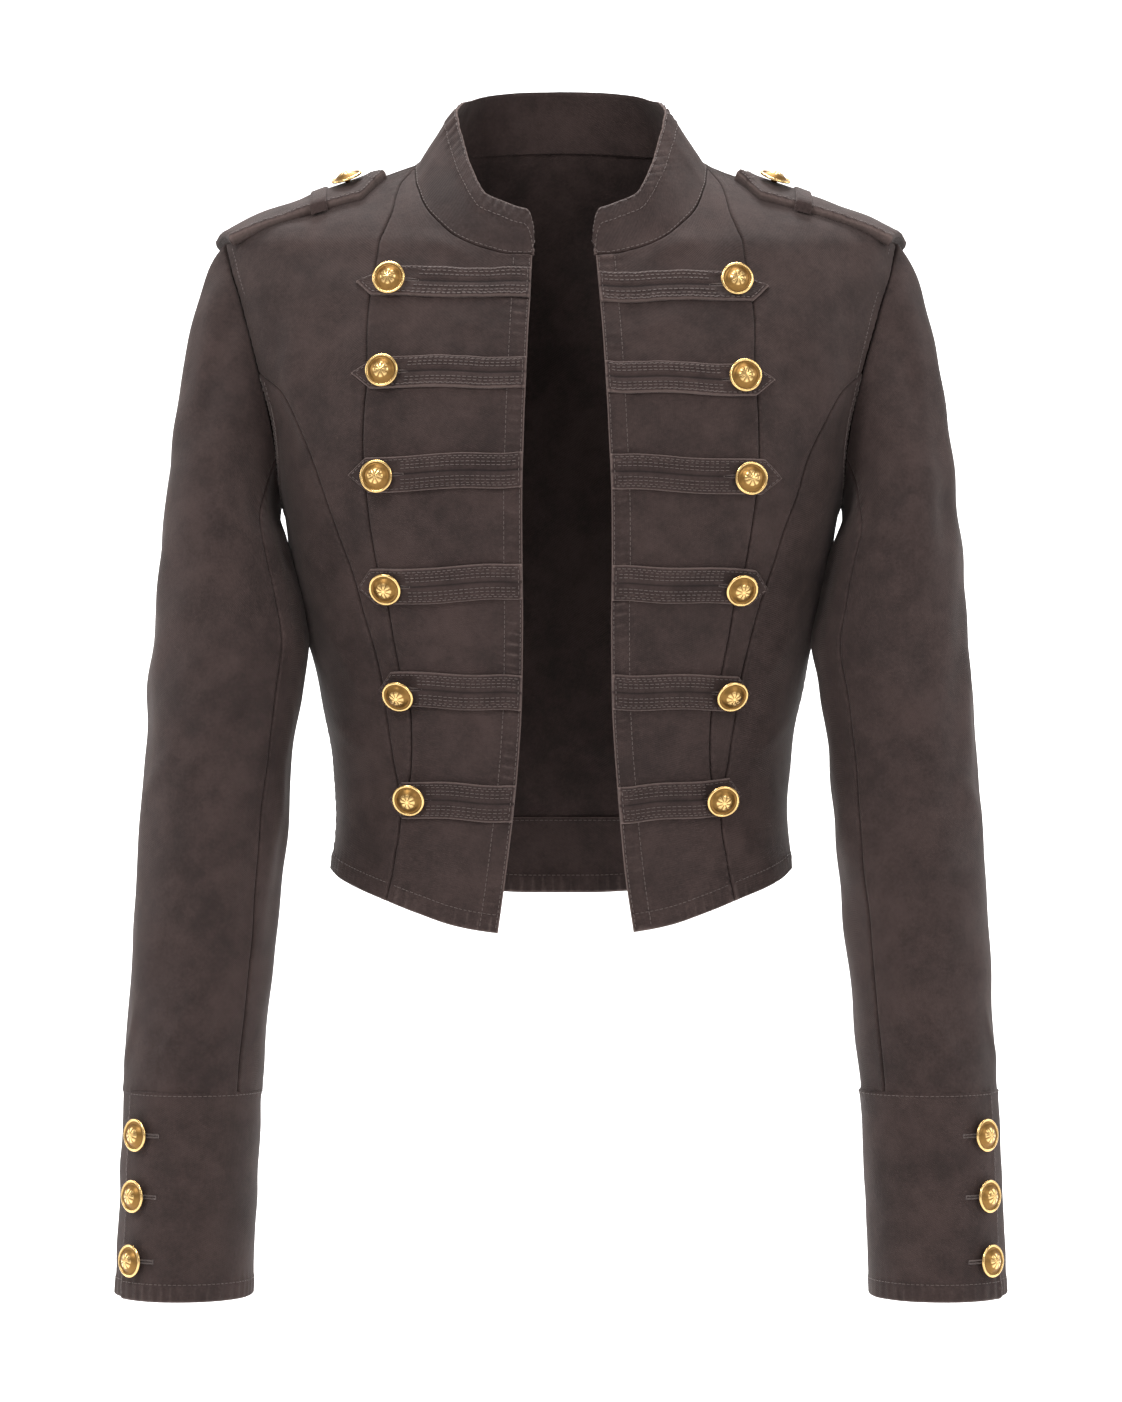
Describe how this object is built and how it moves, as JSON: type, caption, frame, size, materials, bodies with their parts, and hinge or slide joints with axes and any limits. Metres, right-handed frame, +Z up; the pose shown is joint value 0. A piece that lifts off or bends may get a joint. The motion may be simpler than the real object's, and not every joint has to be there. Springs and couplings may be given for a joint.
{
  "type": "military jacket",
  "caption": "Cropped open-front military jacket with stand collar, epaulettes, stitched front tabs, deep buttoned cuffs and domed metal buttons, standing hollow as worn.",
  "frame": {"origin": "middle of the neck at the level of the shoulders, where the wearer carries the jacket", "axes": "+Z up the wearer, +Y to the wearer's back, +X to the wearer's left; the front faces -Y"},
  "size_m": [0.5162, 0.225, 0.7083],
  "materials": {
    "twill": "garment-dyed dark brown cotton twill, matt with a soft sheen",
    "brass": "antique gold, polished on the high parts and darker in the recesses"
  },
  "bodies": {
    "root": {"back": "twill", "back_hem_facing": "twill", "collar": "twill", "centre_front_left": "twill", "centre_front_right": "twill", "side_front_left": "twill", "side_front_right": "twill", "side_panel_left": "twill", "side_panel_right": "twill", "side_back_left": "twill", "side_back_right": "twill", "top_sleeve_left": "twill", "top_sleeve_right": "twill", "under_sleeve_left": "twill", "under_sleeve_right": "twill", "cuff_left": "twill", "cuff_right": "twill", "epaulette_left": "twill", "epaulette_right": "twill", "epaulette_keeper_left": "twill", "epaulette_keeper_right": "twill", "tab_left_1": "twill", "tab_left_2": "twill", "tab_left_3": "twill", "tab_left_4": "twill", "tab_left_5": "twill", "tab_left_6": "twill", "tab_right_1": "twill", "tab_right_2": "twill", "tab_right_3": "twill", "tab_right_4": "twill", "tab_right_5": "twill", "tab_right_6": "twill", "epaulette_button_left": "brass", "epaulette_button_right": "brass", "front_button_left_1": "brass", "front_button_left_2": "brass", "front_button_left_3": "brass", "front_button_left_4": "brass", "front_button_left_5": "brass", "front_button_left_6": "brass", "front_button_right_1": "brass", "front_button_right_2": "brass", "front_button_right_3": "brass", "front_button_right_4": "brass", "front_button_right_5": "brass", "front_button_right_6": "brass", "cuff_button_left_1": "brass", "cuff_button_left_2": "brass", "cuff_button_left_3": "brass", "cuff_button_right_1": "brass", "cuff_button_right_2": "brass", "cuff_button_right_3": "brass"}
  },
  "joints": []
}
